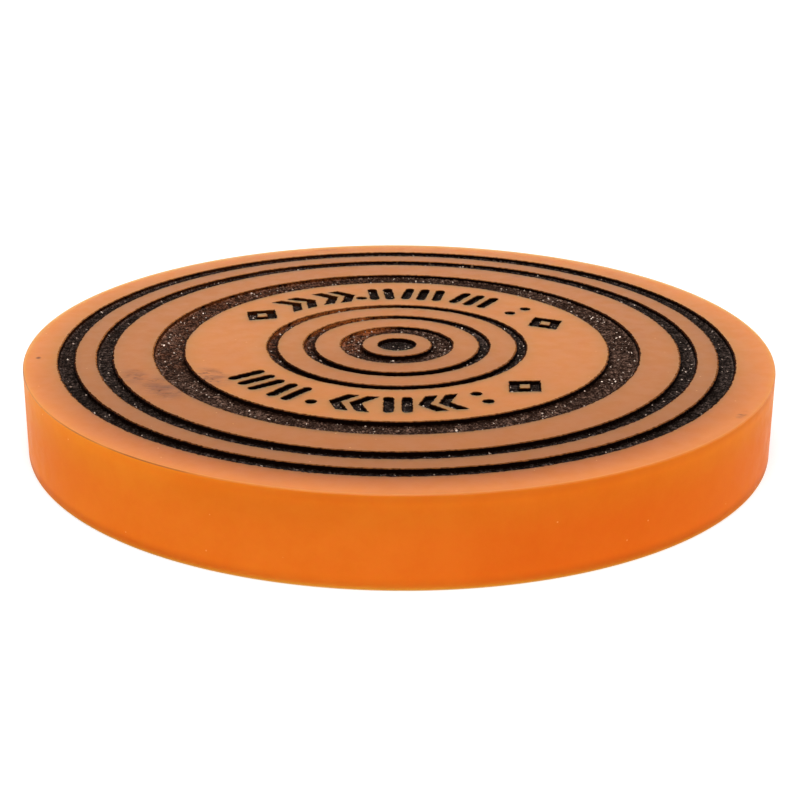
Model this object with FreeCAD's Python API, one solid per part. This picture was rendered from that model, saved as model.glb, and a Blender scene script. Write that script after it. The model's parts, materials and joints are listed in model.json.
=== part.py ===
"""Table hockey puck: one disc of translucent orange plastic whose top face carries engraved rings,
a centre dot and two arcs of plain ornaments, each groove lined with a dark, hard fill.

Units are millimetres. The origin is the centre of the flat bottom face and +Z points up, out of the
engraved face. Every groove is cut in the disc, and its fill is a thin tray that lies on the groove's
floor and walls, so the disc and the fills are separate solids that meet face to face.
"""

import FreeCAD, Part

import math
import os

from FreeCAD import Vector

# ---- Driving dimensions -------------------------------------------------------------------------
PUCK_DIAMETER = 63.5
PUCK_THICKNESS = 7.4
RIM_EDGE_RADIUS = 0.12

ENGRAVING_DEPTH = 0.46
ENGRAVING_CENTRE = Vector(-0.23, 0.29, 0.0)  # the engraving sits a little off the disc's centre

FILL_FLOOR = 0.1  # thickness of the fill on a groove's floor
FILL_WALL = 0.08  # thickness of the fill on a groove's walls
FILL_BELOW_FACE = 0.02  # how far the fill's upper edge stays under the top face

# Ring grooves, from the rim inwards: node name, inner radius, outer radius.
RING_GROOVES = [
    ("outer_ring_fill", 27.26, 28.81),
    ("second_ring_fill", 24.09, 25.62),
    ("broad_ring_fill", 18.10, 20.85),
    ("third_ring_fill", 10.22, 11.24),
    ("fourth_ring_fill", 7.01, 8.09),
    ("bullseye_ring_fill", 2.94, 4.92),
]
CENTRE_DOT_RADIUS = 1.7

# Ornaments lie in the plain band between the broad ring and the third ring.
ORNAMENT_RADIUS = 14.55  # to the middle of each ornament
ORNAMENT_HEIGHT = 3.5
STROKE = 0.9
BAR_PITCH = 1.45
CHEVRON_SPAN = 1.05  # how far a chevron's point stands out from its two ends
CHEVRON_PITCH = 1.65
LOZENGE_WIDTH = 3.9
DOT_DIAMETER = 1.0
DOT_OFFSET = 0.95  # how far a dot lies from the middle of the band

# Each ornament: kind, angle round the engraving in degrees, anticlockwise from +X.
UPPER_ORNAMENTS = [
    ("lozenge", 147.0),
    ("chevrons", 128.5),
    ("chevrons", 113.0),
    ("inner_dot", 104.2),
    ("two_bars", 96.0),
    ("three_bars", 80.5),
    ("three_bars", 60.8),
    ("dot_pair", 41.0),
    ("lozenge", 24.5),
]
LOWER_ORNAMENTS = [
    ("three_bars", 218.5),
    ("two_bars", 234.0),
    ("outer_dot", 244.3),
    ("chevrons", 256.0),
    ("two_bars", 270.5),
    ("chevrons", 284.0),
    ("dot_pair", 298.0),
    ("lozenge", 315.5),
]

# ---- Values worked out from them ----------------------------------------------------------------
PUCK_RADIUS = PUCK_DIAMETER / 2
GROOVE_FLOOR_Z = PUCK_THICKNESS - ENGRAVING_DEPTH
FILL_TOP_Z = PUCK_THICKNESS - FILL_BELOW_FACE
CUT_CLEARANCE = 1.0  # how far a cutting tool stands above the top face
CUT_TOP_Z = PUCK_THICKNESS + CUT_CLEARANCE


# ---- Plain outlines -----------------------------------------------------------------------------
# Each outline takes an inset: how far its whole edge is drawn in, which leaves room for a wall.
def pulled_in(points, inset):
    """An anticlockwise polygon's corners after every side has moved inwards by the inset."""
    corners = []
    for i, (x, y) in enumerate(points):
        before_x, before_y = points[i - 1]
        after_x, after_y = points[(i + 1) % len(points)]
        length_in = math.hypot(x - before_x, y - before_y)
        length_out = math.hypot(after_x - x, after_y - y)
        in_x, in_y = (x - before_x) / length_in, (y - before_y) / length_in
        out_x, out_y = (after_x - x) / length_out, (after_y - y) / length_out
        turn = in_x * out_y - in_y * out_x
        corners.append((x + inset * (in_x - out_x) / -turn, y + inset * (in_y - out_y) / -turn))
    return corners


def polygon_face(points):
    """A flat face at Z = 0 inside a closed polygon of (x, y) points."""
    corners = [Vector(x, y, 0) for x, y in points]
    return Part.Face(Part.makePolygon(corners + corners[:1]))


def disc_face(radius, y=0.0):
    """A flat round face at Z = 0."""
    circle = Part.Edge(Part.Circle(Vector(0, y, 0), Vector(0, 0, 1), radius))
    return Part.Face(Part.Wire(circle))


def ring_face(inner_radius, outer_radius, inset):
    """A flat ring at Z = 0."""
    return disc_face(outer_radius - inset).cut(disc_face(inner_radius + inset)).Faces[0]


def bar_face(x, inset):
    """An upright bar with round ends, as wide as the engraved stroke."""
    end = STROKE / 2
    high = ORNAMENT_HEIGHT / 2 - end
    half = end - inset
    edges = [
        Part.LineSegment(Vector(x + half, -high, 0), Vector(x + half, high, 0)),
        Part.Arc(Vector(x + half, high, 0), Vector(x, high + half, 0), Vector(x - half, high, 0)),
        Part.LineSegment(Vector(x - half, high, 0), Vector(x - half, -high, 0)),
        Part.Arc(Vector(x - half, -high, 0), Vector(x, -high - half, 0), Vector(x + half, -high, 0)),
    ]
    return Part.Face(Part.Wire([edge.toShape() for edge in edges]))


# ---- Ornaments: lists of flat faces, upright, centred on the origin -------------------------------
def bars(count, inset):
    """Upright bars side by side."""
    first = -(count - 1) / 2 * BAR_PITCH
    return [bar_face(first + i * BAR_PITCH, inset) for i in range(count)]


def chevrons(inset):
    """Two chevrons, one after the other, pointing along +X."""
    top = ORNAMENT_HEIGHT / 2
    across = STROKE * math.hypot(top, CHEVRON_SPAN) / top  # the stroke's width along X
    made = []
    for middle in (-CHEVRON_PITCH / 2, CHEVRON_PITCH / 2):
        back = middle - (CHEVRON_SPAN + across) / 2
        corners = [
            (back, -top),
            (back + across, -top),
            (back + across + CHEVRON_SPAN, 0),
            (back + across, top),
            (back, top),
            (back + CHEVRON_SPAN, 0),
        ]
        made.append(polygon_face(pulled_in(corners, inset)))
    return made


def lozenge(inset):
    """A hollow lozenge with an even stroke."""
    half_width = LOZENGE_WIDTH / 2
    half_height = ORNAMENT_HEIGHT / 2
    corners = [(half_width, 0), (0, half_height), (-half_width, 0), (0, -half_height)]
    outside = polygon_face(pulled_in(corners, inset))
    inside = polygon_face(pulled_in(corners, STROKE - inset))
    return [outside.cut(inside).Faces[0]]


def dots(heights, inset):
    """Round dots at those heights."""
    return [disc_face(DOT_DIAMETER / 2 - inset, y) for y in heights]


ORNAMENTS = {
    "two_bars": lambda inset: bars(2, inset),
    "three_bars": lambda inset: bars(3, inset),
    "chevrons": chevrons,
    "lozenge": lozenge,
    "inner_dot": lambda inset: dots([-DOT_OFFSET], inset),
    "outer_dot": lambda inset: dots([DOT_OFFSET], inset),
    "dot_pair": lambda inset: dots([-DOT_OFFSET, DOT_OFFSET], inset),
}


def ornament_faces(ornaments, inset):
    """The faces of a row of ornaments, each standing across the band at its own angle."""
    made = []
    for kind, angle_deg in ornaments:
        angle = math.radians(angle_deg)
        spot = Vector(ORNAMENT_RADIUS * math.cos(angle), ORNAMENT_RADIUS * math.sin(angle), 0)
        turn = FreeCAD.Rotation(Vector(0, 0, 1), angle_deg - 90)
        for face in ORNAMENTS[kind](inset):
            face.Placement = FreeCAD.Placement(spot, turn)
            made.append(face)
    return made


# ---- Grooves and their fills ----------------------------------------------------------------------
def standing(face, low_z, high_z):
    """The solid above a flat face, moved to the engraving's centre."""
    solid = face.extrude(Vector(0, 0, high_z - low_z))
    solid.translate(ENGRAVING_CENTRE + Vector(0, 0, low_z))
    return solid


def tray(groove, hollow):
    """The fill in one groove: a floor with walls up the groove's sides, hollow above the floor."""
    block = standing(groove, GROOVE_FLOOR_Z, FILL_TOP_Z)
    return block.cut(standing(hollow, GROOVE_FLOOR_Z + FILL_FLOOR, CUT_TOP_Z)).Solids[0]


def groove_outlines(inset):
    """Every groove's faces, as node name to list of faces."""
    outlines = {name: [ring_face(inner, outer, inset)] for name, inner, outer in RING_GROOVES}
    outlines["centre_dot_fill"] = [disc_face(CENTRE_DOT_RADIUS - inset)]
    outlines["upper_ornament_fill"] = ornament_faces(UPPER_ORNAMENTS, inset)
    outlines["lower_ornament_fill"] = ornament_faces(LOWER_ORNAMENTS, inset)
    return outlines


# ---- Sub-parts ------------------------------------------------------------------------------------
def puck_body(grooves):
    """The disc with rounded rim edges and every groove cut in its top face."""
    disc = Part.makeCylinder(PUCK_RADIUS, PUCK_THICKNESS)
    rims = [edge for edge in disc.Edges if isinstance(edge.Curve, Part.Circle)]
    disc = disc.makeFillet(RIM_EDGE_RADIUS, rims)
    cutters = [standing(face, GROOVE_FLOOR_Z, CUT_TOP_Z) for faces in grooves.values() for face in faces]
    return disc.cut(cutters).Solids[0]


def build():
    """Every sub-part, as node name to list of solids."""
    grooves = groove_outlines(0.0)
    hollows = groove_outlines(FILL_WALL)
    parts = {"puck_body": [puck_body(grooves)]}
    for name, faces in grooves.items():
        parts[name] = [tray(groove, hollow) for groove, hollow in zip(faces, hollows[name])]
    return parts


def main():
    os.makedirs("parts", exist_ok=True)
    for name, solids in build().items():
        if not all(solid.isValid() and solid.Volume > 0 for solid in solids):
            raise SystemExit(f"{name} has a bad solid")
        shape = solids[0] if len(solids) == 1 else Part.makeCompound(solids)
        shape.exportStep(f"parts/{name}.step")
        volume = sum(solid.Volume for solid in solids)
        print(f"{name}: {len(solids)} solids, {volume:.2f} mm3")


main()
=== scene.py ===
"""Table hockey puck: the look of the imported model, in metres, in the CAD's own frame.

The translucent orange disc and the dark crust in each engraved groove are built here as fine meshes
that stand for the CAD nodes. Lengths are in millimetres until a mesh is made.
"""

import json
import math
import random

import bpy
from mathutils import Matrix, Vector, geometry, noise


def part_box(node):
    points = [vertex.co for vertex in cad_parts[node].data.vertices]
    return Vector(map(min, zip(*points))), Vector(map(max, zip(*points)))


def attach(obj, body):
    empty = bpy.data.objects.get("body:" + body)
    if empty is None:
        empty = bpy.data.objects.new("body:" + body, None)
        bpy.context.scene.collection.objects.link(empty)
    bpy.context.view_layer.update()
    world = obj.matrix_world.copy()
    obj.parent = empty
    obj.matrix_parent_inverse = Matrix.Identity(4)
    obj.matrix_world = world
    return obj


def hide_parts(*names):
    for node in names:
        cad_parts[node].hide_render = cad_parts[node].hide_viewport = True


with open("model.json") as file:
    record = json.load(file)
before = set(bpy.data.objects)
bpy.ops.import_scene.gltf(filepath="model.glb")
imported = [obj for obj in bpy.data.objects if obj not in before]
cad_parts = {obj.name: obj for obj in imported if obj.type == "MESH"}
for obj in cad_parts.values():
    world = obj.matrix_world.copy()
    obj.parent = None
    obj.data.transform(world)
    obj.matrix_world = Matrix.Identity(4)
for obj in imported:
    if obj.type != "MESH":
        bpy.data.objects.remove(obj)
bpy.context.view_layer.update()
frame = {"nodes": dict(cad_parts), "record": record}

# ---- Sizes of the object, in millimetres ----------------------------------------------------------
MM = 0.001
LOW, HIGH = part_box("puck_body")
PUCK_RADIUS = (HIGH.x - LOW.x) / 2 / MM
TOP_Z = HIGH.z / MM
RIM_EDGE_RADIUS = 0.12
RIM_EDGE_STEPS = 6
RING_LOW, RING_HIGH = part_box("outer_ring_fill")
ENGRAVING_CENTRE = (RING_LOW + RING_HIGH).xy / 2 / MM
GROOVE_FLOOR_Z = RING_LOW.z / MM

RING_NODES = [
    "outer_ring_fill",
    "second_ring_fill",
    "broad_ring_fill",
    "third_ring_fill",
    "fourth_ring_fill",
    "bullseye_ring_fill",
]

ORNAMENT_RADIUS = 14.55
ORNAMENT_HEIGHT = 3.5
STROKE = 0.9
BAR_PITCH = 1.45
CHEVRON_SPAN = 1.05
CHEVRON_PITCH = 1.65
LOZENGE_WIDTH = 3.9
DOT_DIAMETER = 1.0
DOT_OFFSET = 0.95
BAR_END_STEPS = 8
# Each ornament, and its angle round the engraving in degrees.
UPPER_ORNAMENTS = [
    ("lozenge", 147.0),
    ("chevrons", 128.5),
    ("chevrons", 113.0),
    ("inner_dot", 104.2),
    ("two_bars", 96.0),
    ("three_bars", 80.5),
    ("three_bars", 60.8),
    ("dot_pair", 41.0),
    ("lozenge", 24.5),
]
LOWER_ORNAMENTS = [
    ("three_bars", 218.5),
    ("two_bars", 234.0),
    ("outer_dot", 244.3),
    ("chevrons", 256.0),
    ("two_bars", 270.5),
    ("chevrons", 284.0),
    ("dot_pair", 298.0),
    ("lozenge", 315.5),
]

# ---- Fineness and roughness of the meshes, in millimetres -------------------------------------------
OUTLINE_STEP = 0.13  # between points along a groove's edge
CRUST_STEP = 0.085  # between points of a crust's surface
RIM_POINTS = 900
SIDE_ROWS = 16
RING_MELT = 0.11  # width of the rounded edge that the beam melted round a ring groove's mouth
SMALL_MELT = 0.04  # the same round the centre pit and the ornaments
MELT_DROP = 0.06  # from the top face to the foot of that rounded edge
MELT_ROWS = 4
RAGGED_FINE = 0.085  # how far a groove's edge wanders
RAGGED_FINE_RATE = 4.0  # wanderings in a millimetre
RAGGED_FINE_LAYER = 3.0  # the layer of the noise that they follow
RAGGED_COARSE = 0.03
RAGGED_COARSE_RATE = 0.5
RAGGED_COARSE_LAYER = 9.0
SKIN_GAP = 0.004  # between a fill and the groove it lies in
FILL_FLOOR = 0.1
CRUST_WALL = 0.055  # from the groove's wall to the crust's own surface
WALL_ROWS = 4
GRAIN_SIZE = 0.17
GRAIN_LAYER = 2.0
GRAIN_HEIGHT = 0.08
FINE_GRAIN_RATE = 2.1  # fine grains to a coarse one
FINE_STREAK_RATE = 2.3
FINE_SHARE = 0.5  # height of the fine ones, as a share of the coarse ones' height
DEEPEST_DIP = 0.8  # of the crust's floor
STREAK_WIDTH = 0.3
STREAK_LENGTH = 0.6
STREAK_HEIGHT = 0.06
BANK_WIDTH = 0.25  # of the crust that banks up against a ring groove's outer wall
BANK_HEIGHT = 0.16
DITCH_WIDTH = 0.45  # of the dip along a ring groove's inner wall, towards the front, where the crust is painted dark as shade
DITCH_SHARE = 0.3  # of the groove's width that it takes up at most
DITCH_DEPTH = 0.1
CRYSTAL_HEIGHT = 0.05
WALL_SWAY = 0.03
WALL_SWAY_RATE = 6.0  # sways in a millimetre
SPOT_JITTER = 0.3  # of the step between a crust's points
SMALLEST_GAP = 1e-7  # between two points of a mesh that stay apart
CRUST_FLOOR_Z = GROOVE_FLOOR_Z + FILL_FLOOR
CRUST_LIP_Z = TOP_Z - MELT_DROP
BIG_GLINT_SHARE = 0.3  # of the glints
GLINT_SHARE = 0.014  # of a crust's points, where no other share is given
GLINT_SHARES = {"outer_ring_fill": 0.003, "second_ring_fill": 0.005, "broad_ring_fill": 0.009}
FIRST_SEED = 100  # of the crusts' random numbers
NOISE_SEED = 7  # of noise_vector, which otherwise gives other values in each run

# The number of each material among a piece's materials.
SIDE_LOOK, FACE_LOOK, SINGED_LOOK = range(3)
CRUST_LOOK, GLINT_LOOK = range(2)


# ---- Outlines -------------------------------------------------------------------------------------
# A groove is a function of an inset. It returns closed loops of points, the outer loop first, each
# drawn into the groove by the inset. A loop has as many points at one inset as at any other.
def ragged(point):
    """The point after the engraving beam's small wanderings, which depend only on where it is."""
    fine = noise.noise_vector(Vector((*point, RAGGED_FINE_LAYER)) * RAGGED_FINE_RATE)
    coarse = noise.noise_vector(Vector((*point, RAGGED_COARSE_LAYER)) * RAGGED_COARSE_RATE)
    return point + fine.xy * RAGGED_FINE + coarse.xy * RAGGED_COARSE


def circle(radius, inset, centre=Vector((0, 0))):
    """A loop of points; a positive inset shrinks it."""
    count = round(math.tau * radius / OUTLINE_STEP)
    drawn = radius - inset
    turns = [math.tau * i / count for i in range(count)]
    return [centre + Vector((math.cos(turn), math.sin(turn))) * drawn for turn in turns]


def pulled_in(points, inset):
    """An anticlockwise polygon's corners after every side has moved inwards by the inset."""
    corners = []
    for i, point in enumerate(points):
        before = (point - points[i - 1]).normalized()
        after = (points[(i + 1) % len(points)] - point).normalized()
        turn = before.cross(after)
        corners.append(point + (after - before) * (inset / turn))
    return corners


def along(corners, nominal):
    """Points along a polygon's sides, as many on each side as the nominal polygon needs."""
    points = []
    for i, corner in enumerate(corners):
        after = (i + 1) % len(corners)
        count = round((nominal[after] - nominal[i]).length / OUTLINE_STEP)
        points += [corner.lerp(corners[after], k / count) for k in range(count)]
    return points


def polygon(corners, inset):
    """A polygon's loop of points, drawn in by the inset."""
    return along(pulled_in(corners, inset), corners)


def bar(x, inset):
    """The loop of an upright bar with round ends."""
    end = STROKE / 2
    high = ORNAMENT_HEIGHT / 2 - end
    loop = []
    nominal = []
    for y, start in ((high, 0.0), (-high, math.pi)):
        for i in range(BAR_END_STEPS + 1):
            turn = start + math.pi * i / BAR_END_STEPS
            out = Vector((math.cos(turn), math.sin(turn)))
            loop.append(Vector((x, y)) + out * (end - inset))
            nominal.append(Vector((x, y)) + out * end)
    return along(loop, nominal)


def bars(count):
    """Grooves of upright bars side by side."""
    first = -(count - 1) / 2 * BAR_PITCH
    return [lambda inset, x=first + i * BAR_PITCH: [bar(x, inset)] for i in range(count)]


def chevrons():
    """Grooves of two chevrons that point along +X."""
    top = ORNAMENT_HEIGHT / 2
    across = STROKE * math.hypot(top, CHEVRON_SPAN) / top
    made = []
    for middle in (-CHEVRON_PITCH / 2, CHEVRON_PITCH / 2):
        back = middle - (CHEVRON_SPAN + across) / 2
        corners = [
            Vector((back, -top)),
            Vector((back + across, -top)),
            Vector((back + across + CHEVRON_SPAN, 0)),
            Vector((back + across, top)),
            Vector((back, top)),
            Vector((back + CHEVRON_SPAN, 0)),
        ]
        made.append(lambda inset, corners=corners: [polygon(corners, inset)])
    return made


def lozenge():
    """The groove of a hollow lozenge."""
    half_width = LOZENGE_WIDTH / 2
    half_height = ORNAMENT_HEIGHT / 2
    corners = [
        Vector((half_width, 0)),
        Vector((0, half_height)),
        Vector((-half_width, 0)),
        Vector((0, -half_height)),
    ]
    inner = pulled_in(corners, STROKE)
    return [lambda inset: [polygon(corners, inset), polygon(inner, -inset)]]


def dots(*heights):
    """Grooves of round dots at those heights."""
    return [lambda inset, y=y: [circle(DOT_DIAMETER / 2, inset, Vector((0, y)))] for y in heights]


ORNAMENTS = {
    "two_bars": lambda: bars(2),
    "three_bars": lambda: bars(3),
    "chevrons": chevrons,
    "lozenge": lozenge,
    "inner_dot": lambda: dots(-DOT_OFFSET),
    "outer_dot": lambda: dots(DOT_OFFSET),
    "dot_pair": lambda: dots(-DOT_OFFSET, DOT_OFFSET),
}


def placed(groove, angle_deg):
    """An ornament's groove standing across the band at that angle round the engraving."""
    angle = math.radians(angle_deg)
    spot = Vector((math.cos(angle), math.sin(angle))) * ORNAMENT_RADIUS
    turn = Matrix.Rotation(angle - math.pi / 2, 2)
    return lambda inset: [[spot + turn @ point for point in loop] for loop in groove(inset)]


def ornament_grooves(ornaments):
    """The grooves of a row of ornaments."""
    return [placed(groove, angle) for kind, angle in ornaments for groove in ORNAMENTS[kind]()]


def ring_groove(inner, outer):
    """The groove of one ring."""
    return lambda inset: [circle(outer, inset), circle(inner, -inset)]


def cad_radii(node):
    """The inner and outer radius of a round CAD node about the engraving's centre."""
    points = [vertex.co.xy / MM - ENGRAVING_CENTRE for vertex in frame["nodes"][node].data.vertices]
    reaches = [point.length for point in points]
    return min(reaches), max(reaches)


RADII = {node: cad_radii(node) for node in RING_NODES}
RADII["centre_dot_fill"] = (0.0, cad_radii("centre_dot_fill")[1])


def all_grooves():
    """Every groove, as CAD node to list of grooves."""
    grooves = {node: [ring_groove(*RADII[node])] for node in RING_NODES}
    grooves["centre_dot_fill"] = [lambda inset: [circle(RADII["centre_dot_fill"][1], inset)]]
    grooves["upper_ornament_fill"] = ornament_grooves(UPPER_ORNAMENTS)
    grooves["lower_ornament_fill"] = ornament_grooves(LOWER_ORNAMENTS)
    return grooves


def cut_loops(groove, inset):
    """A groove's loops as the beam really cut them, in the puck's own frame."""
    return [[ragged(point + ENGRAVING_CENTRE) for point in loop] for loop in groove(inset)]


# ---- Mesh building --------------------------------------------------------------------------------
class Builder:
    """Collects the points and faces of one piece."""

    def __init__(self):
        self.points = []
        self.faces = []
        self.looks = []
        self.look = 0

    def row(self, loop, z):
        """Adds a loop of points at one height and returns their numbers."""
        first = len(self.points)
        heights = z if isinstance(z, list) else [z] * len(loop)
        self.points += [Vector((p.x, p.y, height)) for p, height in zip(loop, heights)]
        return list(range(first, len(self.points)))

    def face(self, corners):
        """Adds a face that takes the present look."""
        self.faces.append(corners)
        self.looks.append(self.look)

    def strip(self, below, above):
        """Quads between two rows; they face outwards of an anticlockwise loop."""
        for i in range(len(below)):
            k = (i + 1) % len(below)
            self.face((below[i], below[k], above[k], above[i]))

    def walls(self, above, below):
        """Strips that join a groove's rows at two heights; its first row is its outer one."""
        self.strip(above[0], below[0])
        for high, low in zip(above[1:], below[1:]):
            self.strip(low, high)

    def fill(self, rows, spots=(), up=True):
        """Triangles between nested closed rows, through the spots, in the odd regions."""
        numbers = [number for row in rows for number in row] + list(spots)
        flat = [self.points[number].xy for number in numbers]
        loops = []
        first = 0
        for row in rows:
            loops.append(list(range(first, first + len(row))))
            first += len(row)
        inside_loops = 1
        result = geometry.delaunay_2d_cdt(flat, [], loops, inside_loops, SMALLEST_GAP, True)
        _, _, triangles, origins, _, regions = result
        for triangle, within in zip(triangles, regions):
            if len(within) % 2:
                corners = [numbers[origins[corner][0]] for corner in triangle]
                self.face(corners if up else corners[::-1])

    def made(self, name, materials):
        """The piece as an object in metres."""
        mesh = bpy.data.meshes.new(name)
        mesh.from_pydata([point * MM for point in self.points], [], self.faces)
        for material in materials:
            mesh.materials.append(material)
        mesh.polygons.foreach_set("material_index", self.looks)
        mesh.validate()
        mesh.update()
        piece = bpy.data.objects.new(name, mesh)
        bpy.context.scene.collection.objects.link(piece)
        return piece


# ---- The disc -------------------------------------------------------------------------------------
def rim_profile():
    """Radius and height of the rim's rows, from the bottom face up to the top face."""
    low = []
    for i in range(RIM_EDGE_STEPS + 1):
        turn = math.pi / 2 * i / RIM_EDGE_STEPS
        inwards = 1 - math.sin(turn)
        rise = 1 - math.sin(math.pi / 2 - turn)
        low.append((PUCK_RADIUS - RIM_EDGE_RADIUS * inwards, RIM_EDGE_RADIUS * rise))
    side = []
    for i in range(1, SIDE_ROWS):
        z = RIM_EDGE_RADIUS + (TOP_Z - 2 * RIM_EDGE_RADIUS) * i / SIDE_ROWS
        side.append((PUCK_RADIUS, z))
    high = [(radius, TOP_Z - z) for radius, z in reversed(low)]
    return low + side + high


def rim_circle(radius):
    """One row of the rim's points."""
    turns = [math.tau * i / RIM_POINTS for i in range(RIM_POINTS)]
    return [Vector((math.cos(turn), math.sin(turn))) * radius for turn in turns]


def melt_width(node):
    """How wide the melted edge of a CAD node's grooves is."""
    return RING_MELT if node in RING_NODES else SMALL_MELT


def groove_walls(build, groove, melt):
    """Adds a groove's melted edge, walls and floor, and returns its rows on the top face."""
    turns = [math.pi / 2 * i / MELT_ROWS for i in range(MELT_ROWS + 1)]
    levels = [(melt * math.sin(turn), TOP_Z - MELT_DROP * (1 - math.cos(turn))) for turn in turns]
    levels.append((melt, GROOVE_FLOOR_Z))
    by_level = [[build.row(loop, z) for loop in cut_loops(groove, inset)] for inset, z in levels]
    for above, below in zip(by_level, by_level[1:]):
        build.walls(above, below)
    build.fill(by_level[-1])
    return by_level[0]


def disc(grooves, materials):
    """The orange disc with every groove cut in it."""
    build = Builder()
    rows = [build.row(rim_circle(radius), z) for radius, z in rim_profile()]
    for below, above in zip(rows, rows[1:]):
        nearly_on_top = build.points[above[0]].z > TOP_Z - RIM_EDGE_RADIUS / 2
        build.look = FACE_LOOK if nearly_on_top else SIDE_LOOK
        build.strip(below, above)
    build.look = FACE_LOOK
    build.fill([rows[0]], up=False)
    build.look = SINGED_LOOK
    face_rows = [rows[-1]]
    for node, group in grooves.items():
        for groove in group:
            face_rows += groove_walls(build, groove, melt_width(node))
    build.look = FACE_LOOK
    build.fill(face_rows)
    return build.made("puck_disc", materials)


# ---- The crust in the grooves ---------------------------------------------------------------------
def grain(spot):
    """Height of the crust's grains, from about -1 to 1."""
    place = Vector((*spot, GRAIN_LAYER)) / GRAIN_SIZE
    return noise.noise(place) + FINE_SHARE * noise.noise(place * FINE_GRAIN_RATE)


def streaks(spot, ring_radius):
    """Height of the beam's short strokes across a ring, from about -1 to 1."""
    out = spot - ENGRAVING_CENTRE
    round_ring = out.normalized() * (ring_radius / STREAK_WIDTH)
    place = Vector((round_ring.x, round_ring.y, out.length / STREAK_LENGTH))
    return noise.noise(place) + FINE_SHARE * noise.noise(place * FINE_STREAK_RATE)


def ring_floor(node):
    """The inner and outer radius of the floor inside a ring's crust, or None for other nodes."""
    if node not in RING_NODES:
        return None
    inner, outer = RADII[node]
    wall = melt_width(node) + CRUST_WALL
    return inner + wall, outer - wall


def bank(spot, floor):
    """How far the crust rises towards a ring groove's outer wall or dips along its inner one."""
    out = spot - ENGRAVING_CENTRE
    outer_gap = floor[1] - out.length
    inner_gap = out.length - floor[0]
    rise = BANK_HEIGHT * max(0.0, 1 - outer_gap / BANK_WIDTH) ** 2
    ditch = min(DITCH_WIDTH, DITCH_SHARE * (floor[1] - floor[0]))
    # The dip is made only towards the front, where the crust's colour paints it dark as shade along the
    # inner wall.
    towards_front = max(0.0, -out.normalized().y)
    dip = DITCH_DEPTH * towards_front * max(0.0, 1 - inner_gap / ditch)
    return rise - dip


def crust_height(spot, floor):
    """How high the crust stands over its mean floor; a ring's floor has streaks and a bank."""
    rise = GRAIN_HEIGHT * grain(spot)
    if floor:
        rise += STREAK_HEIGHT * streaks(spot, floor[1]) + bank(spot, floor)
    return max(rise, -DEEPEST_DIP * FILL_FLOOR)


def inside(point, loops):
    """Whether a point lies in the region between the loops."""
    crossings = 0
    for loop in loops:
        for i, here in enumerate(loop):
            before = loop[i - 1]
            if (here.y > point.y) != (before.y > point.y):
                x = here.x + (point.y - here.y) / (before.y - here.y) * (before.x - here.x)
                crossings += point.x < x
    return crossings % 2 == 1


def jitter(rng):
    """A random shift, as a share of the step between points."""
    return rng.uniform(-SPOT_JITTER, SPOT_JITTER)


def ring_spots(inner, outer, rng):
    """Jittered points spread over a ring."""
    spots = []
    width = outer - inner - CRUST_STEP
    rows = round(width / CRUST_STEP)
    for k in range(rows + 1):
        radius = inner + CRUST_STEP / 2 + width * k / rows
        count = round(math.tau * radius / CRUST_STEP)
        for i in range(count):
            turn = math.tau * (i + jitter(rng)) / count
            reach = radius + jitter(rng) * CRUST_STEP
            spots.append(Vector((math.cos(turn), math.sin(turn))) * reach + ENGRAVING_CENTRE)
    return spots


def patch_spots(loops, rng):
    """Jittered points spread over a small region between loops."""
    xs = [point.x for point in loops[0]]
    ys = [point.y for point in loops[0]]
    spots = []
    y = min(ys)
    while y < max(ys):
        x = min(xs)
        while x < max(xs):
            shift = Vector((jitter(rng), jitter(rng))) * CRUST_STEP
            spot = Vector((x, y)) + shift
            if inside(spot, loops):
                spots.append(spot)
            x += CRUST_STEP
        y += CRUST_STEP
    return spots


def swayed(point, z):
    """A point of a crust's wall after the wall's own unevenness."""
    sway = noise.noise_vector(Vector((*point, z)) * WALL_SWAY_RATE)
    return point + sway.xy * WALL_SWAY


def crust_walls(build, groove, melt):
    """Adds the underside and walls of a groove's crust and returns the rows round its floor."""
    outer_skin = cut_loops(groove, melt + SKIN_GAP)
    bottom = [build.row(loop, GROOVE_FLOOR_Z + SKIN_GAP) for loop in outer_skin]
    levels = [bottom, [build.row(loop, CRUST_LIP_Z) for loop in outer_skin]]
    inner_skin = cut_loops(groove, melt + CRUST_WALL)
    for k in range(WALL_ROWS + 1):
        z = CRUST_LIP_Z + (CRUST_FLOOR_Z - CRUST_LIP_Z) * k / WALL_ROWS
        levels.append([build.row([swayed(point, z) for point in loop], z) for loop in inner_skin])
    build.fill(bottom, up=False)
    build.walls(levels[1], levels[0])
    for above, below in zip(levels[1:], levels[2:]):
        build.walls(above, below)
    return levels[-1]


def crust(build, groove, node, rng):
    """Adds one groove's crust: a thin lining with a grainy floor and grainy walls."""
    edge = crust_walls(build, groove, melt_width(node))
    floor = ring_floor(node)
    if floor:
        flat = ring_spots(*floor, rng)
    else:
        flat = patch_spots([[build.points[number].xy for number in row] for row in edge], rng)
    glint_share = GLINT_SHARES.get(node, GLINT_SHARE)
    crystals = [rng.random() < glint_share for _ in flat]
    heights = []
    for spot, crystal in zip(flat, crystals):
        rise = crust_height(spot, floor)
        heights.append(CRUST_FLOOR_Z + rise + CRYSTAL_HEIGHT * crystal)
    spots = build.row(flat, heights)
    first = len(build.faces)
    build.fill(edge, spots)
    bright = {number for number, crystal in zip(spots, crystals) if crystal}
    large = {number for number in sorted(bright) if rng.random() < BIG_GLINT_SHARE}
    for number in range(first, len(build.faces)):
        corners = build.faces[number]
        if corners[0] in bright or large.intersection(corners):
            build.looks[number] = GLINT_LOOK


def fills(grooves, looks):
    """The crust of every CAD node, as node name to piece."""
    made = {}
    for seed, (node, group) in enumerate(grooves.items(), FIRST_SEED):
        rng = random.Random(seed)
        build = Builder()
        build.look = CRUST_LOOK
        for groove in group:
            crust(build, groove, node, rng)
        made[node] = build.made(node.replace("_fill", "_crust"), looks(node))
    return made


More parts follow.
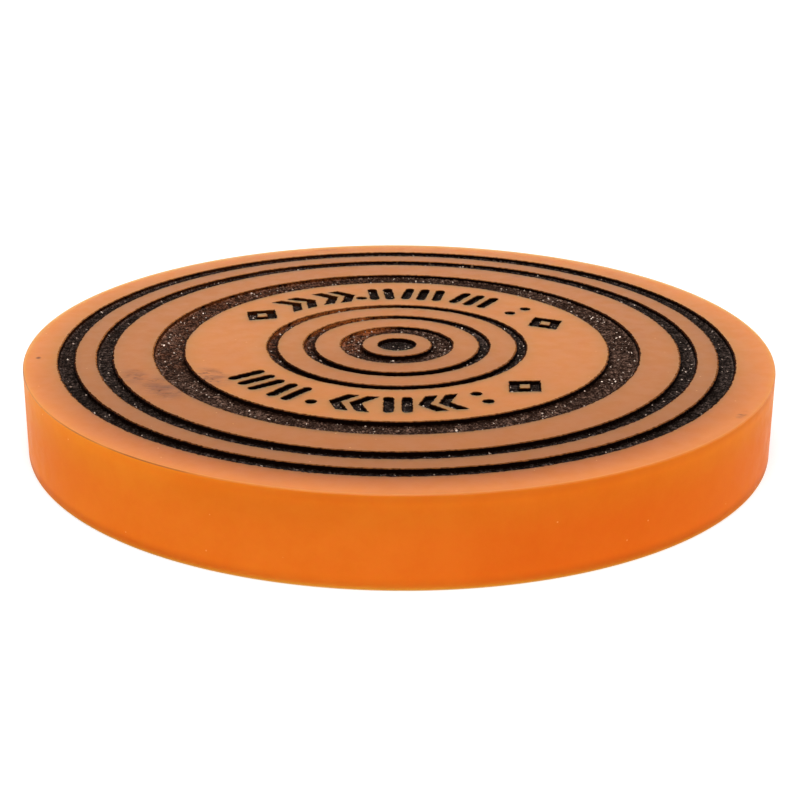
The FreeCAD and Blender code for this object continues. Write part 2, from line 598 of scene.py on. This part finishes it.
# ---- Materials ------------------------------------------------------------------------------------
# Colours are linear, patterns are sized in features per metre, and directions are seen from above.
FACE_COLOUR = (0.64, 0.202, 0.0305, 1)
FACE_CLOUD = (0.60, 0.184, 0.0270, 1)
# Painted light and shade on the side: lighter or darker from left to right and towards the crease as the
# light falls, with a painted glow near the crease at the left.
SIDE_LIT_LEFT = (0.645, 0.139, 0.0080, 1)
SIDE_LIT_MIDDLE = (0.665, 0.158, 0.0105, 1)
SIDE_LIT_RIGHT = (0.645, 0.120, 0.0066, 1)
SIDE_TOP_LIT_LEFT = (0.625, 0.172, 0.0095, 1)
SIDE_TOP_LIT_MIDDLE = (0.58, 0.152, 0.0095, 1)
SIDE_TOP_LIT_RIGHT = (0.60, 0.146, 0.0074, 1)
DULL_CLOUD = (0.98, 0.93, 0.86, 1)  # the side's colour is multiplied by these
BRIGHT_CLOUD = (1.03, 1.09, 1.20, 1)
# Painted shade at the foot of the side.
FOOT_SHADE_COLOUR = (0.42, 0.070, 0.006, 1)
FOOT_SHADE_HEIGHT = 1.1  # of the painted shade at the foot of the side, in millimetres
# Painted shade along the rim's upper edge.
CREASE_SHADE_COLOUR = (0.40, 0.085, 0.008, 1)
CREASE_SHADE_WIDTH = 0.9  # of the band of painted shade on both sides of the rim's upper edge
DIRT_COLOUR = (0.13, 0.030, 0.006, 1)
DIRTY_SIDE = (-0.93, -0.37, 0.0)  # the way from the centre to where the rim's crease has caught dirt
# Painted shade on the top face's lands near the grooves, darker towards the front.
LAND_SHADE_COLOUR = (0.345, 0.105, 0.0160, 1)
# Painted shade on the land just outside the outer ring, strongest at the front.
RIM_SHADE_COLOUR = (0.44, 0.102, 0.0085, 1)
SCUFF_COLOUR = (0.13, 0.026, 0.001, 1)
DUST_COLOUR = (0.85, 0.42, 0.15, 1)
SINGED_DARK = (0.015, 0.004, 0.002, 1)
SINGED_LIGHT = (0.10, 0.024, 0.006, 1)
# Melted plastic at the groove edges, painted lighter where it faces the light.
LIT_MELT_COLOUR = (0.42, 0.145, 0.042, 1)
LIT_MELT_SIDE = (0.6, -0.8, 0.0)  # the way that groove edges face where their melted plastic is painted lighter, as painted light
SOOT_COLOUR = (0.005, 0.0014, 0.0006, 1)
RUST_COLOUR = (0.50, 0.122, 0.025, 1)
# The colour of painted highlights.
PAINTED_GLINT_COLOUR = (0.75, 0.42, 0.22, 1)
RUSTY_SIDE = (-0.87, 0.5, 0.0)  # the way from the centre to where the crust is thinnest
GLINT_LIGHT = (0.80, 0.62, 0.50, 1)
GLINT_DARK = (0.35, 0.22, 0.16, 1)

# Each crust: its dark colour, which also paints shade in its hollows, its grains' colour, and how rusty
# its floor and its far rings are.
CRUSTS = {
    "black_fill": ((0.006, 0.0035, 0.0025, 1), (0.150, 0.103, 0.086, 1), 0.4, 0.1),
    "brown_fill": ((0.014, 0.006, 0.0035, 1), (0.285, 0.163, 0.117, 1), 0.75, 0.35),
}

# The disc's two sorts of surface: refraction index, and the least and most roughness.
PLASTICS = {
    "orange_side": (1.055, 0.3, 0.4),
    "orange_face": (1.3, 0.3, 0.42),
}
SINGED_IOR = 1.06
CRUST_IOR = 1.05
GLINT_ROUGHNESS = 0.25
GLINT_METALLIC = 0.3
PLASTIC_DEPTH = 0.004  # how far light strays inside the disc, in metres
PLASTIC_DEPTHS = (1.0, 0.95, 0.8)  # the same for red, green and blue, as shares of it

# A pattern: features per metre, detail, roughness, and the range of its values that is used.
CLOUDS = (110.0, 8.0, 0.78, 0.3, 0.7)
GLOSS_PATCHES = (700.0, 5.0, 0.55, 0.3, 0.7)
DIRT_PATCHES = (120.0, 3.0, 0.55, 0.35, 0.6)
SCRATCH_LINES = (1500.0, 3.0, 0.6)
SCRATCH_BREAKS = (1300.0, 2.0, 0.5, 0.40, 0.52)
SMEAR_PATCHES = (900.0, 5.0, 0.6, 0.38, 0.60)
SINGED_PATCHES = (1500.0, 5.0, 0.7, 0.35, 0.7)
SINGED_GLOSS = (2500.0, 3.0, 0.55, 0.3, 0.7)
LIT_MELT_PATCHES = (2600.0, 3.0, 0.55, 0.3, 0.6)
CRUST_PATCHES = (650.0, 3.0, 0.55, 0.35, 0.65)
CRUST_GLOSS = (4000.0, 3.0, 0.55, 0.3, 0.7)
RUST_PATCHES = (900.0, 5.0, 0.55, 0.3, 0.55)
GLINT_PATCHES = (3000.0, 2.0, 0.55, 0.35, 0.65)
NOISE_MIDDLE = 0.5
GRIT_SCALE = 520.0
GRAIN_SCALE = 8500.0

# A bump: features per metre, detail, and height in metres.
PLASTIC_BUMP = (6000.0, 2.0, 0.000004)
SINGED_BUMP = (7000.0, 2.0, 0.00001)
CRUST_BUMP = (9000.0, 3.0, 0.00003)

# A step: the values that it starts and ends at, then what it gives before and after, if not 0 and 1.
# Directions run from -1 to 1: backwards is +Y, rightwards is +X, upwards is +Z.
STEEP_TO_LEVEL = (0.3, 0.9)
SIDE_LIGHT_LEFT_TO_MIDDLE = (-0.8, -0.25)
SIDE_LIGHT_MIDDLE_TO_RIGHT = (-0.25, 0.6)
FOOT_SHADE_BY_SIDEWAYS = (0.1, 0.6, 0.5, 1.0)
CREASE_SHADE_BY_LEVEL = (0.8, 1.0, 1.0, 0.35)
CREASE_SHADE_BY_RIGHTWARDS = (-0.9, 0.2, 0.2, 0.65)
DIRT_BEGINS = (0.25, 0.5)
DIRT_ENDS = (0.8, 0.995, 1.0, 0.0)
DIRT_BY_SIDE = (0.5, 0.9, 0.0, 0.95)
LAND_SHADE_BY_BACKWARDS = (-0.85, 0.0, 1.0, 0.72)
RIM_SHADE_BY_BACKWARDS = (-0.95, 0.1, 1.0, 0.05)
SCRATCH_LINE = (0.012, 0.045, 1.0, 0.0)
GRIT_SPECK = (0.02, 0.045, 0.6, 0.0)
LIT_MELT_BY_SIDE = (-0.1, 0.75, 0.0, 0.95)
LIT_MELT_BY_OUTWARDS = (-0.8, 0.8, 1.0, 0.55)
WALL_TO_FLOOR = (0.2, 0.7)
GRAIN_BY_CHANCE = (0.2, 1.0, 0.05, 1.0)
GRAIN_BY_BACKWARDS = (0.2, 0.9, 1.0, 0.7)
RUST_BY_SIDE = (0.45, 0.9, 0.0, 0.9)
RUST_BY_OUTWARDS = (0.1, 0.5, 1.0, 0.1)
RUST_BY_CHANCE = (0.1, 0.8, 0.35, 1.0)

# Heights and radii of some steps, in millimetres.
SIDE_TOP_LIGHT_START = 0.45 * TOP_Z
MELT_BRIM = TOP_Z - 0.02
# Below GRAIN_RISES the crust's floor is painted dark, as shade in its hollows.
GRAIN_RISES = (CRUST_FLOOR_Z - 0.05, CRUST_FLOOR_Z + 0.09)
GRAIN_FADES = (CRUST_FLOOR_Z + 0.07, CRUST_FLOOR_Z + 0.19)
RUST_BEGINS = (1.5, 3.0)
RUST_FADES = (11.4, 13.0)

# Shares that some patterns reach from and to.
SMEAR_STRENGTH = (0.1, 0.6)
DIRT_STRENGTH = (0.4, 1.0)
LIT_MELT_STRENGTH = (0.35, 1.0)
GRAIN_STRENGTH = (0.55, 1.2)
SINGED_ROUGHNESS = (0.45, 0.75)
CRUST_ROUGHNESS = (0.35, 0.7)

# How much the scuffs' patterns shrink along X, which draws them out.
SCRATCH_STRETCH = 0.3
BREAK_STRETCH = 0.6
SMEAR_STRETCH = 0.4

# How much painted shade each land between the grooves has, from the middle outwards to the rim: narrow
# lands between wide grooves get most, where light in the plastic is lost into the grooves.
LAND_SHADE = [0.84, 0.74, 0.66, 0.25, 0.76, 0.97, 0.0]
RIM_SHADE_WIDTH = 3.2  # of the painted shade, from the outer ring outwards

# Scuffed places on the top face: centre, half length along the rings, half width, strength.
SCUFFS = [
    ((-18.9, -10.9), 3.8, 2.0, 1.0),
    ((-21.6, -8.2), 2.6, 1.5, 0.8),
    ((-15.2, -8.2), 3.2, 1.7, 1.0),
    ((26.6, -16.0), 1.3, 0.5, 0.6),
    ((11.5, 20.8), 1.6, 0.6, 0.4),
    ((-7.5, 29.6), 1.8, 0.5, 0.4),
]
BLOT_CORE = 0.2  # of such a place that has its full strength
NICK = ((-30.3, -3.8), 0.4, 0.3, 0.9)  # a small dark one, in the same terms
PAINTED_GLINT_SPOTS = [  # painted highlights: small light spots on the second ring's far wall, in the same terms
    ((-0.3, 25.0), 0.3, 0.9, 0.7),
    ((2.9, 24.9), 0.3, 0.8, 0.6),
    ((7.0, 24.1), 0.25, 0.9, 0.8),
]

# The numbers of a Mix node's colour sockets, which share their names with others.
MIX_FIRST = 6
MIX_SECOND = 7
MIX_RESULT = 2


class Graph:
    """A material's nodes, with short calls to add and join them."""

    def __init__(self, name):
        self.material = bpy.data.materials.new(name)
        self.material.use_nodes = True
        self.tree = self.material.node_tree
        self.shader = self.tree.nodes["Principled BSDF"]
        self.place = self.node("ShaderNodeTexCoord").outputs["Object"]
        self.normal = self.node("ShaderNodeNewGeometry").outputs["Normal"]

    def node(self, kind, values=None, **settings):
        """Adds a node with those input values and settings."""
        made = self.tree.nodes.new(kind)
        for key, value in settings.items():
            setattr(made, key, value)
        for key, value in (values or {}).items():
            self.feed(made.inputs[key], value)
        return made

    def feed(self, socket, value):
        """Sets a socket, or joins it to another node's socket."""
        if isinstance(value, bpy.types.NodeSocket):
            self.tree.links.new(value, socket)
        else:
            socket.default_value = value

    def surface(self, **values):
        """Feeds the shader's sockets, named with underscores, and returns the material."""
        for key, value in values.items():
            name = key.replace("_", " ")
            self.feed(self.shader.inputs[name], value)
        return self.material

    def noise(self, scale, detail, roughness=0.55, at=None):
        """Cloudy values about NOISE_MIDDLE, over the object or over another place."""
        values = {"Vector": at or self.place, "Scale": scale, "Detail": detail, "Roughness": roughness}
        return self.node("ShaderNodeTexNoise", values).outputs["Fac"]

    def patches(self, pattern, to_low=0.0, to_high=1.0, at=None):
        """A named pattern's values spread from one share to another."""
        scale, detail, roughness, low, high = pattern
        return self.span(self.noise(scale, detail, roughness, at), low, high, to_low, to_high)

    def cells(self, scale):
        """A node that divides space into random cells."""
        return self.node("ShaderNodeTexVoronoi", {"Vector": self.place, "Scale": scale})

    def span(self, value, low, high, to_low=0.0, to_high=1.0):
        """A value spread smoothly from one range to another."""
        values = {"Value": value, "From Min": low, "From Max": high, "To Min": to_low, "To Max": to_high}
        made = self.node("ShaderNodeMapRange", values, interpolation_type="SMOOTHSTEP")
        return made.outputs["Result"]

    def calc(self, kind, *values):
        """One step of arithmetic."""
        return self.node("ShaderNodeMath", dict(enumerate(values)), operation=kind).outputs["Value"]

    def product(self, first, *others):
        """All the values multiplied."""
        for other in others:
            first = self.calc("MULTIPLY", first, other)
        return first

    def vector(self, kind, *values, result="Vector"):
        """One step of vector arithmetic."""
        return self.node("ShaderNodeVectorMath", dict(enumerate(values)), operation=kind).outputs[result]

    def flat(self, vector):
        """A vector without its height."""
        return self.vector("MULTIPLY", vector, (1.0, 1.0, 0.0))

    def direction(self, vector):
        """A vector's direction seen from above."""
        return self.vector("NORMALIZE", self.flat(vector))

    def length(self, vector):
        """A vector's length."""
        return self.vector("LENGTH", vector, result="Value")

    def along(self, vector, way):
        """How far a vector goes along another."""
        return self.vector("DOT_PRODUCT", vector, way, result="Value")

    def axis(self, vector, letter):
        """One component of a vector."""
        return self.node("ShaderNodeSeparateXYZ", {"Vector": vector}).outputs[letter]

    def mix(self, share, first, second):
        """A colour between two others."""
        made = self.node("ShaderNodeMix", data_type="RGBA")
        self.feed(made.inputs["Factor"], share)
        self.feed(made.inputs[MIX_FIRST], first)
        self.feed(made.inputs[MIX_SECOND], second)
        return made.outputs[MIX_RESULT]

    def bump(self, scale, detail, height):
        """A normal roughened by fine noise of that height in metres."""
        values = {"Height": self.noise(scale, detail), "Distance": height, "Strength": 1.0}
        return self.node("ShaderNodeBump", values).outputs["Normal"]


def from_centre(graph):
    """The direction away from the engraving's centre, and the distance in millimetres."""
    out = graph.flat(graph.vector("SUBTRACT", graph.place, (ENGRAVING_CENTRE * MM).to_3d()))
    return graph.vector("NORMALIZE", out), graph.product(graph.length(out), 1 / MM)


def painted_land_shade(graph):
    """How much painted shade the lands between the grooves have, most towards the front."""
    outwards, radius = from_centre(graph)
    total = LAND_SHADE[0]
    for (inner, outer), before, after in zip(sorted(RADII.values())[1:], LAND_SHADE, LAND_SHADE[1:]):
        total = graph.calc("ADD", total, graph.span(radius, inner, outer, 0.0, after - before))
    return graph.product(total, graph.span(graph.axis(outwards, "Y"), *LAND_SHADE_BY_BACKWARDS))


def painted_rim_shade(graph):
    """How much painted shade the land outside the outer ring has, near the ring and towards the front.
    """
    outwards, radius = from_centre(graph)
    inner, outer = RADII["outer_ring_fill"]
    outside = graph.span(radius, inner, outer)
    fading = graph.span(radius, outer, outer + RIM_SHADE_WIDTH, 1.0, 0.0)
    strength = graph.span(graph.axis(outwards, "Y"), *RIM_SHADE_BY_BACKWARDS)
    return graph.product(outside, fading, strength)


def blot(graph, centre, half_length, half_width, strength):
    """A soft-edged oval on the top face, lying along the rings."""
    x, y = centre
    values = {
        "Vector": graph.place,
        "Location": (x * MM, y * MM, 0.0),
        "Rotation": (0.0, 0.0, math.atan2(x, -y)),
        "Scale": (half_length * MM, half_width * MM, 1.0),
    }
    local = graph.node("ShaderNodeMapping", values, vector_type="TEXTURE").outputs["Vector"]
    return graph.span(graph.length(local), BLOT_CORE, 1.0, strength, 0.0)


def blots(graph, places):
    """Several such ovals."""
    total = 0.0
    for place in places:
        total = graph.calc("MAXIMUM", total, blot(graph, *place))
    return total


def scuffs(graph):
    """How scuffed the top face is: broken, crooked scratches in a faint smear."""
    def drawn_out(stretch):
        values = {"Vector": graph.place, "Scale": (stretch, 1.0, 1.0)}
        return graph.node("ShaderNodeMapping", values).outputs["Vector"]

    lines = graph.calc("SUBTRACT", graph.noise(*SCRATCH_LINES, drawn_out(SCRATCH_STRETCH)), NOISE_MIDDLE)
    lines = graph.span(graph.calc("ABSOLUTE", lines), *SCRATCH_LINE)
    scratches = graph.product(lines, graph.patches(SCRATCH_BREAKS, at=drawn_out(BREAK_STRETCH)))
    smear = graph.patches(SMEAR_PATCHES, *SMEAR_STRENGTH, at=drawn_out(SMEAR_STRETCH))
    marks = graph.product(graph.calc("MAXIMUM", scratches, smear), blots(graph, SCUFFS))
    return graph.calc("MAXIMUM", marks, blots(graph, [NICK]))


def crease_gap(graph):
    """How far a place is from the crease between the top face and the side, in metres."""
    inwards = graph.calc("SUBTRACT", PUCK_RADIUS * MM, graph.length(graph.flat(graph.place)))
    down = graph.calc("SUBTRACT", TOP_Z * MM, graph.axis(graph.place, "Z"))
    return graph.length(graph.node("ShaderNodeCombineXYZ", {"X": inwards, "Y": down}).outputs["Vector"])


def side_colour_with_painted_light(graph, rightwards, cloud):
    """The colour of the disc's side, with painted light and shade from left to right and from its foot
    to its crease.
    """
    def across(left, middle, right):
        left_half = graph.mix(graph.span(rightwards, *SIDE_LIGHT_LEFT_TO_MIDDLE), left, middle)
        return graph.mix(graph.span(rightwards, *SIDE_LIGHT_MIDDLE_TO_RIGHT), left_half, right)

    height = graph.axis(graph.place, "Z")
    # Painted light: the side's colour changes from left to right and towards its crease as the light
    # falls.
    low = across(SIDE_LIT_LEFT, SIDE_LIT_MIDDLE, SIDE_LIT_RIGHT)
    high = across(SIDE_TOP_LIT_LEFT, SIDE_TOP_LIT_MIDDLE, SIDE_TOP_LIT_RIGHT)
    colour = graph.mix(graph.span(height, SIDE_TOP_LIGHT_START * MM, TOP_Z * MM), low, high)
    colour = graph.vector("MULTIPLY", colour, graph.mix(cloud, DULL_CLOUD, BRIGHT_CLOUD))
    # Painted shade: the side is darker and redder at its foot, more so at the left and right.
    foot = graph.span(height, 0.0, FOOT_SHADE_HEIGHT * MM, 1.0, 0.0)
    strength = graph.span(graph.calc("ABSOLUTE", rightwards), *FOOT_SHADE_BY_SIDEWAYS)
    return graph.mix(graph.product(foot, strength), colour, FOOT_SHADE_COLOUR)


def face_colour(graph, facing, cloud):
    """The colour of the disc's two faces; only the top one has painted shade."""
    top = graph.span(facing, *STEEP_TO_LEVEL)
    colour = graph.mix(cloud, FACE_COLOUR, FACE_CLOUD)
    colour = graph.mix(graph.product(painted_land_shade(graph), top), colour, LAND_SHADE_COLOUR)
    return graph.mix(graph.product(painted_rim_shade(graph), top), colour, RIM_SHADE_COLOUR)


def with_crease_shade_and_dirt(graph, colour, level, facing, outwards):
    """The colour with painted shade near the crease, and a line of dirt along part of it."""
    # Painted shade: a darker band along the crease, stronger towards the right.
    near = graph.span(crease_gap(graph), 0.0, CREASE_SHADE_WIDTH * MM, 1.0, 0.0)
    near = graph.product(
        near,
        graph.span(facing, *CREASE_SHADE_BY_LEVEL),
        graph.span(graph.axis(outwards, "X"), *CREASE_SHADE_BY_RIGHTWARDS),
    )
    dirt = graph.product(
        graph.span(level, *DIRT_BEGINS),
        graph.span(level, *DIRT_ENDS),
        graph.patches(DIRT_PATCHES, *DIRT_STRENGTH),
        graph.span(graph.along(outwards, DIRTY_SIDE), *DIRT_BY_SIDE),
    )
    return graph.mix(dirt, graph.mix(near, colour, CREASE_SHADE_COLOUR), DIRT_COLOUR)


def orange_plastic(name, ior, smooth, rough):
    """The disc's plastic; the faces and the side differ in gloss."""
    graph = Graph(name)
    facing = graph.axis(graph.normal, "Z")
    level = graph.calc("ABSOLUTE", facing)
    outwards = from_centre(graph)[0]
    cloud = graph.patches(CLOUDS)
    side = side_colour_with_painted_light(graph, graph.axis(outwards, "X"), cloud)
    colour = graph.mix(graph.span(level, *STEEP_TO_LEVEL), side, face_colour(graph, facing, cloud))
    colour = with_crease_shade_and_dirt(graph, colour, level, facing, outwards)
    colour = graph.mix(scuffs(graph), colour, SCUFF_COLOUR)
    grit = graph.cells(GRIT_SCALE).outputs["Distance"]
    colour = graph.mix(graph.span(grit, *GRIT_SPECK), colour, DUST_COLOUR)
    return graph.surface(
        Base_Color=colour,
        Roughness=graph.patches(GLOSS_PATCHES, smooth, rough),
        IOR=ior,
        Subsurface_Weight=1.0,
        Subsurface_Radius=PLASTIC_DEPTHS,
        Subsurface_Scale=PLASTIC_DEPTH,
        Normal=graph.bump(*PLASTIC_BUMP),
    )


def singed_plastic():
    """The disc's plastic where the beam burnt and melted it: the grooves' edges and walls, with painted
    light on melted edges that face one way.
    """
    graph = Graph("singed_plastic")
    tone = graph.patches(SINGED_PATCHES)
    way = graph.direction(graph.normal)
    # Painted light: melted edges near the top that face one way are painted lighter.
    melted = graph.product(
        graph.span(graph.along(way, LIT_MELT_SIDE), *LIT_MELT_BY_SIDE),
        graph.span(graph.along(way, from_centre(graph)[0]), *LIT_MELT_BY_OUTWARDS),
        graph.span(graph.axis(graph.place, "Z"), CRUST_LIP_Z * MM, MELT_BRIM * MM),
        graph.patches(LIT_MELT_PATCHES, *LIT_MELT_STRENGTH),
    )
    colour = graph.mix(melted, graph.mix(tone, SINGED_DARK, SINGED_LIGHT), LIT_MELT_COLOUR)
    # Painted highlights: a few light spots on the second ring's far wall.
    return graph.surface(
        Base_Color=graph.mix(blots(graph, PAINTED_GLINT_SPOTS), colour, PAINTED_GLINT_COLOUR),
        Roughness=graph.patches(SINGED_GLOSS, *SINGED_ROUGHNESS),
        IOR=SINGED_IOR,
        Normal=graph.bump(*SINGED_BUMP),
    )


def crust_material(name, dark, light, floor_rust, far_rust):
    """The dark crust: nearly black on the walls, speckled on the floor, rusty where it is thin."""
    graph = Graph(name)
    outwards, radius = from_centre(graph)
    height = graph.axis(graph.place, "Z")
    facing = graph.axis(graph.normal, "Z")
    cell_colour = graph.cells(GRAIN_SCALE).outputs["Color"]
    chance = graph.node("ShaderNodeSeparateColor", {"Color": cell_colour}).outputs["Red"]
    # Painted shade: speckles and floor rust fade out in the crust's low hollows and its front dip,
    # leaving them dark.
    ridge = graph.product(
        graph.span(height, *(z * MM for z in GRAIN_RISES)),
        graph.span(height, *(z * MM for z in GRAIN_FADES), 1.0, 0.0),
    )
    speckle = graph.product(
        graph.span(chance, *GRAIN_BY_CHANCE),
        graph.patches(CRUST_PATCHES, *GRAIN_STRENGTH),
        graph.span(graph.axis(outwards, "Y"), *GRAIN_BY_BACKWARDS),
        ridge,
    )
    floor_colour = graph.mix(speckle, dark, light)
    colour = graph.mix(graph.span(facing, *WALL_TO_FLOOR), SOOT_COLOUR, floor_colour)
    wall = graph.span(facing, *WALL_TO_FLOOR, 1.0, 0.0)
    rust = graph.product(
        graph.span(graph.along(outwards, RUSTY_SIDE), *RUST_BY_SIDE),
        graph.span(radius, *RUST_BEGINS),
        graph.span(radius, *RUST_FADES, 1.0, far_rust),
        graph.calc("MAXIMUM", wall, graph.product(ridge, floor_rust)),
        graph.span(graph.along(outwards, graph.normal), *RUST_BY_OUTWARDS),
        graph.patches(RUST_PATCHES),
        graph.span(chance, *RUST_BY_CHANCE),
    )
    colour = graph.mix(rust, colour, RUST_COLOUR)
    # Painted highlights: a few light spots on the second ring's far wall.
    return graph.surface(
        Base_Color=graph.mix(graph.product(blots(graph, PAINTED_GLINT_SPOTS), wall), colour, PAINTED_GLINT_COLOUR),
        Roughness=graph.patches(CRUST_GLOSS, *CRUST_ROUGHNESS),
        IOR=CRUST_IOR,
        Normal=graph.bump(*CRUST_BUMP),
    )


def glint_material():
    """The crust's bright crystals; their pale colour is partly a painted glint."""
    graph = Graph("glint")
    return graph.surface(
        Base_Color=graph.mix(graph.patches(GLINT_PATCHES), GLINT_LIGHT, GLINT_DARK),
        Roughness=GLINT_ROUGHNESS,
        Metallic=GLINT_METALLIC,
    )


# ---- Stage ----------------------------------------------------------------------------------------
CAMERA_SPOT = Vector((0.0, -0.141934, 0.056297))
CAMERA_LENS = 78.5
SENSOR_WIDTH = 36.0
NEAREST_VIEW = 0.001
CAMERA_PITCH = math.radians(-0.83)
CAMERA_YAW = math.radians(0.031)
CAMERA_ROLL = math.radians(-0.346)
FLOOR_REACH = 3.0
FLOOR_Z = -0.00002
FLOOR_COLOUR = (0.8, 0.8, 0.8, 1)
FLOOR_ROUGHNESS = 0.9
FLOOR_GLOW = 0.36
WHITE = (1, 1, 1, 1)
SKY_STRENGTH = 0.77
LAMP_SPOT = Vector((-0.01, -0.19, 0.45))
LAMP_SIZE = 0.35
LAMP_POWER = 1.3


def camera():
    """The camera, aimed at the middle of the object's foot and then turned a little."""
    data = bpy.data.cameras.new("camera")
    data.lens = CAMERA_LENS
    data.sensor_width = SENSOR_WIDTH
    data.clip_start = NEAREST_VIEW
    eye = bpy.data.objects.new("camera", data)
    aim = (-CAMERA_SPOT).to_track_quat("-Z", "Y").to_matrix()
    turn = Matrix.Rotation(CAMERA_ROLL, 3, "Z") @ Matrix.Rotation(CAMERA_PITCH, 3, "X")
    turn = turn @ Matrix.Rotation(CAMERA_YAW, 3, "Y")
    eye.matrix_world = Matrix.Translation(CAMERA_SPOT) @ (aim @ turn.transposed()).to_4x4()
    bpy.context.scene.collection.objects.link(eye)
    bpy.context.scene.camera = eye


def floor():
    """A plain pale floor that glows a little, so that it stays white."""
    mesh = bpy.data.meshes.new("floor")
    ends = ((-1, -1), (1, -1), (1, 1), (-1, 1))
    mesh.from_pydata([(x * FLOOR_REACH, y * FLOOR_REACH, FLOOR_Z) for x, y in ends], [], [range(4)])
    material = Graph("floor").surface(
        Base_Color=FLOOR_COLOUR,
        Roughness=FLOOR_ROUGHNESS,
        Emission_Color=WHITE,
        Emission_Strength=FLOOR_GLOW,
    )
    mesh.materials.append(material)
    plane = bpy.data.objects.new("floor", mesh)
    bpy.context.scene.collection.objects.link(plane)


def light():
    """An even pale sky and one wide soft lamp."""
    world = bpy.data.worlds.new("studio")
    world.use_nodes = True
    sky = world.node_tree.nodes["Background"]
    sky.inputs["Color"].default_value = WHITE
    sky.inputs["Strength"].default_value = SKY_STRENGTH
    bpy.context.scene.world = world
    data = bpy.data.lights.new("key", "AREA")
    data.shape = "DISK"
    data.size = LAMP_SIZE
    data.energy = LAMP_POWER
    lamp = bpy.data.objects.new("key", data)
    aim = (-LAMP_SPOT).to_track_quat("-Z", "Y").to_matrix().to_4x4()
    lamp.matrix_world = Matrix.Translation(LAMP_SPOT) @ aim
    lamp.visible_camera = False
    bpy.context.scene.collection.objects.link(lamp)


def main():
    """Builds the pieces, attaches each to the root body in place of its CAD node, and sets the stage."""
    noise.seed_set(NOISE_SEED)
    grooves = all_grooves()
    slots = {part["node"]: part["material_slot"] for part in frame["record"]["subparts"]}
    glint = glint_material()
    crusts = {slot: [crust_material(slot, *look), glint] for slot, look in CRUSTS.items()}
    plastics = [orange_plastic(name, *look) for name, look in PLASTICS.items()]
    body = disc(grooves, [*plastics, singed_plastic()])
    pieces = {"puck_body": body, **fills(grooves, lambda node: crusts[slots[node]])}
    for node, piece in pieces.items():
        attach(piece, "root")
        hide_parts(node)
    floor()
    light()
    camera()
    bpy.context.scene.view_settings.view_transform = "Standard"
    bpy.context.scene.cycles.use_denoising = True


main()
